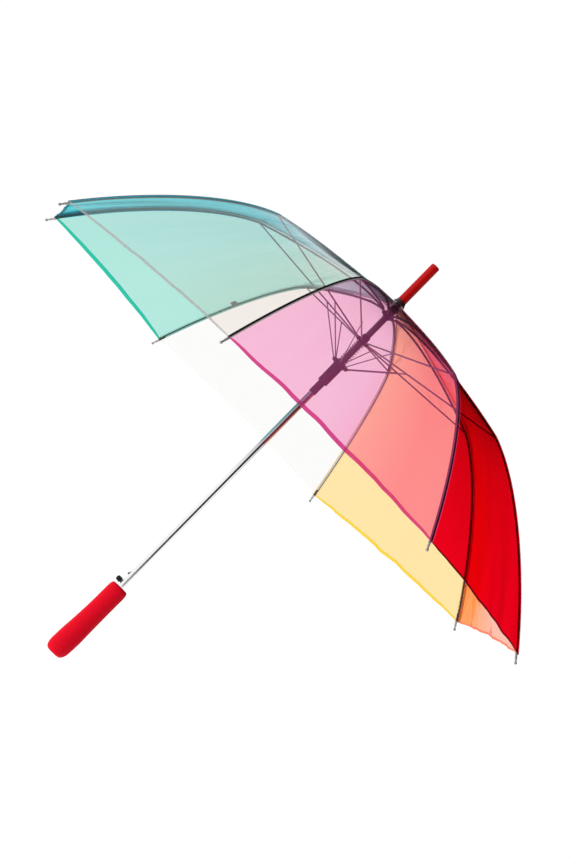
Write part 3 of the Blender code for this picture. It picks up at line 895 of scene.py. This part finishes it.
def finish_cad_node(name, mat, bevel=0.00025):
    """A collar that is shown as packed: smooth sides, small edge rounding, its own finish."""
    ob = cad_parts[name]
    ob.data.polygons.foreach_set("use_smooth", [True] * len(ob.data.polygons))
    ob.data.set_sharp_from_angle(angle=math.radians(28))
    ob.data.materials.clear()
    ob.data.materials.append(mat)
    round_edges(ob, bevel, 2, 40)


def make_collars():
    """Notch, runners and catch, with the wires that hold the ribs, stretchers and links."""
    finish_cad_node("top_notch", BLACK_PLASTIC)
    finish_cad_node("upper_runner", BLACK_PLASTIC)
    finish_cad_node("lower_runner", BLACK_PLASTIC)
    finish_cad_node("catch", CATCH_STEEL, 0.00012)
    for name, r, z, body in (
        ("notch_wire", PIVOT_R + 0.0022, NOTCH_Z, "stick"),
        ("runner_wire", PIVOT_R + 0.0024, RUNNER_Z, "upper_runner"),
        ("lower_runner_wire", LINK_PIVOT_R + 0.0018, LOWER_Z, "lower_runner"),
    ):
        points, faces = wire_ring(r, z, 0.0004)
        ring = add_mesh(name, points, faces, SPRING_STEEL)
        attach(ring, body)
    rings = []
    for z, r in ((0.0085, 0.0088), (0.0125, 0.0088), (0.0165, 0.0088), (0.0360, 0.0087)):
        rings.append(wire_ring(r - 0.0002, LOWER_Z - z, 0.0005))
    points, faces = joined(rings)
    grip = add_mesh("runner_grip_rings", points, faces, BLACK_PLASTIC)
    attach(grip, "lower_runner")


def make_button():
    """Push button with a sloped face, in the shaft's window above the grip."""
    x, z = BUTTON_X, BUTTON_Z
    outline = [
        (x + 0.0031, z - 0.0042), (x + 0.0031, z + 0.0042), (x - 0.0026, z + 0.0040),
        (x - 0.0040, z + 0.0020), (x - 0.0040, z - 0.0018), (x - 0.0028, z - 0.0036),
    ]
    loops = [[(a, y, b) for a, b in outline] for y in (-0.0036, 0.0036)]
    points, faces = loft(loops)
    ob = add_mesh("push_button", points, faces, BLACK_PLASTIC, angle=40.0)
    round_edges(ob, 0.0005, 3, 25)
    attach(ob, "release")
    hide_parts("button")


def make_tab():
    """Grey closing tab with a round snap, lying under the film beside one rib."""
    azimuth = TAB_RIB * SECTOR
    at, d = at_length(OUTER, TAB_AT)
    near, far = 0.0019, 0.0118
    loops = []
    for s, k in ((-0.0060, 0.74), (-0.0056, 0.86), (-0.0046, 0.96), (-0.0030, 1.0), (0.0030, 1.0),
                 (0.0046, 0.96), (0.0056, 0.86), (0.0060, 0.74)):
        here = (at[0] + d[0] * s, at[1] + d[1] * s)
        end = near + (far - near) * k
        low, high = 0.0008, 0.0008 - 0.0018 * k
        outline = [(near, low), ((near + end) / 2, (low + high) / 2), (end - 0.0003, high + 0.0001),
                   (end, high - 0.0003), (end, high - 0.0008), (end - 0.0003, high - 0.0010),
                   ((near + end) / 2, (low + high) / 2 - 0.0010), (near, low - 0.0010)]
        loops.append(section(azimuth, here, d, outline))
    body = loft(loops)
    middle, up = 0.0070, -0.0011
    high = (at[0] - d[1] * up, at[1] + d[0] * up)
    low = (at[0] - d[1] * (up - 0.0009), at[1] + d[0] * (up - 0.0009))
    snap = rod_between(in_plane(azimuth, *high, middle), in_plane(azimuth, *low, middle), 0.0026, 20)
    points, faces = joined([body, snap])
    ob = add_mesh("snap_tab", points, faces, TAB_GREY)
    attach(ob, "rib_tip_4")
    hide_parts("closing_tab")


# ---------------------------------------------------------------- build

for i, film in enumerate(FILMS):
    seam, sleeve = make_seam(i), make_sleeve(i)
    on_rib(seam)
    on_rib(sleeve)
    make_gore(i, film[0])
for i in range(RIBS):
    make_rib(i)
    make_cap(i)
    make_linkage(i)
make_shaft()
make_handle()
make_ferrule()
make_spring()
make_collars()
make_button()
make_tab()


# ---------------------------------------------------------------- studio

def add_camera():
    right = RIGHT * math.cos(ROLL) + UP * math.sin(ROLL)
    up = UP * math.cos(ROLL) - RIGHT * math.sin(ROLL)
    data = bpy.data.cameras.new("camera")
    data.lens = LENS
    data.sensor_width = 36.0
    data.dof.use_dof = False
    data.clip_end = 50.0
    cam = bpy.data.objects.new("camera", data)
    bpy.context.scene.collection.objects.link(cam)
    turn = Matrix((right, up, BACK)).transposed().to_4x4()
    place = CENTRE + RIGHT * SHIFT_RIGHT + UP * SHIFT_UP + BACK * DISTANCE
    cam.matrix_world = Matrix.Translation(place) @ turn
    bpy.context.scene.camera = cam


def add_area(name, offset, size, power):
    """Soft light aimed at the object; it lights without showing in the gloss."""
    data = bpy.data.lights.new(name, "AREA")
    data.shape = "RECTANGLE"
    data.size, data.size_y = size
    data.energy = power
    ob = bpy.data.objects.new(name, data)
    ob.visible_glossy = False
    bpy.context.scene.collection.objects.link(ob)
    turn = offset.to_track_quat("Z", "Y").to_matrix().to_4x4()
    ob.matrix_world = Matrix.Translation(CENTRE + offset) @ turn


def add_stage():
    """Pale, slightly mottled floor."""
    white, nt, shader, _ = new_material("floor_white")
    set_inputs(nt, shader, {
        "Base Color": ramp(nt, noise_on(nt, 3.0, 2.0), ((0.3, 0.93), (0.7, 0.95))),
        "Roughness": 0.9,
        "Emission Color": opaque((1.0, 1.0, 1.0)),
        "Emission Strength": 0.85,
    })
    mesh = bpy.data.meshes.new("floor")
    h = FLOOR_HALF
    corners = [(-h, -h, FLOOR_Z), (h, -h, FLOOR_Z), (h, h, FLOOR_Z), (-h, h, FLOOR_Z)]
    mesh.from_pydata(corners, [], [(0, 1, 2, 3)])
    mesh.materials.append(white)
    floor = bpy.data.objects.new("floor", mesh)
    bpy.context.scene.collection.objects.link(floor)


def dot_with(nt, direction, axis):
    n = node(nt, "ShaderNodeVectorMath", {0: direction, 1: axis}, operation="DOT_PRODUCT")
    return n.outputs["Value"]


def step_up(nt, value, low, high, bottom=0.0, top=1.0):
    return remap(nt, value, low, high, bottom, top, "SMOOTHSTEP")


def add_world():
    """White backdrop for the eye; the room that gloss sees is bright on the left, dark elsewhere."""
    world = bpy.data.worlds.new("studio")
    bpy.context.scene.world = world
    world.use_nodes = True
    nt = world.node_tree
    direction = node(nt, "ShaderNodeTexCoord").outputs["Generated"]
    # what the canopy mirrors: a bright wall on the left, dark ahead, above and right
    left = dot_with(nt, direction, -RIGHT - BACK * 0.08)
    over = dot_with(nt, direction, UP + RIGHT * 0.5)
    wall = maths(nt, "MULTIPLY", step_up(nt, left, 0.08, 0.24, 0.008, 0.85),
                 step_up(nt, over, 0.30, 0.75, 1.0, 0.15))
    # what the upright tube mirrors: bright left of the eye, a dark gap, dim on the right
    side = UPRIGHT.cross(BACK).normalized()
    facing = (BACK - UPRIGHT * BACK.z).normalized()
    turn = math.radians(26)
    gap = dot_with(nt, direction, facing * math.cos(turn) + side * math.sin(turn))
    behind = maths(nt, "MULTIPLY", step_up(nt, dot_with(nt, direction, -facing), 0.70, 0.86),
                   step_up(nt, dot_with(nt, direction, side), -0.20, -0.02))
    halves = step_up(nt, behind, 0.0, 1.0, 1.1, 0.01)
    tube = maths(nt, "MULTIPLY", halves, step_up(nt, gap, 0.76, 0.86, 1.0, 0.01))
    # near the horizon the tube's room shows, higher and lower the canopy's
    level = maths(nt, "ABSOLUTE", dot_with(nt, direction, UPRIGHT))
    share = step_up(nt, level, 0.22, 0.30, 1.0, 0.0)
    near = maths(nt, "MULTIPLY", tube, share)
    far = maths(nt, "MULTIPLY", wall, maths(nt, "SUBTRACT", 1.0, share))
    # the pale floor beyond the object
    below = step_up(nt, dot_with(nt, direction, UP), -0.08, -0.03, 1.2, 0.0)
    floor = maths(nt, "MULTIPLY", below, step_up(nt, dot_with(nt, direction, -BACK), 0.4, 0.7))
    total = maths(nt, "MAXIMUM", maths(nt, "ADD", near, far), floor)
    white = opaque((1.0, 1.0, 1.0))
    room = nt.nodes["Background"]
    set_inputs(nt, room, {"Color": white, "Strength": total})
    seen = node(nt, "ShaderNodeBackground", {"Color": white, "Strength": 1.02})
    eye = node(nt, "ShaderNodeLightPath").outputs["Is Camera Ray"]
    both = mix_shaders(nt, eye, room.outputs["Background"], seen.outputs["Background"])
    nt.links.new(both, nt.nodes["World Output"].inputs["Surface"])


add_camera()
add_area("key", BACK * 1.6 - RIGHT * 2.3 + UP * 0.8, (2.4, 2.4), 42.0)
add_area("left_back", -BACK * 1.9 - RIGHT * 2.6 + UP * 0.5, (2.6, 2.6), 14.0)
add_stage()
add_world()
bpy.context.scene.view_settings.view_transform = "Standard"
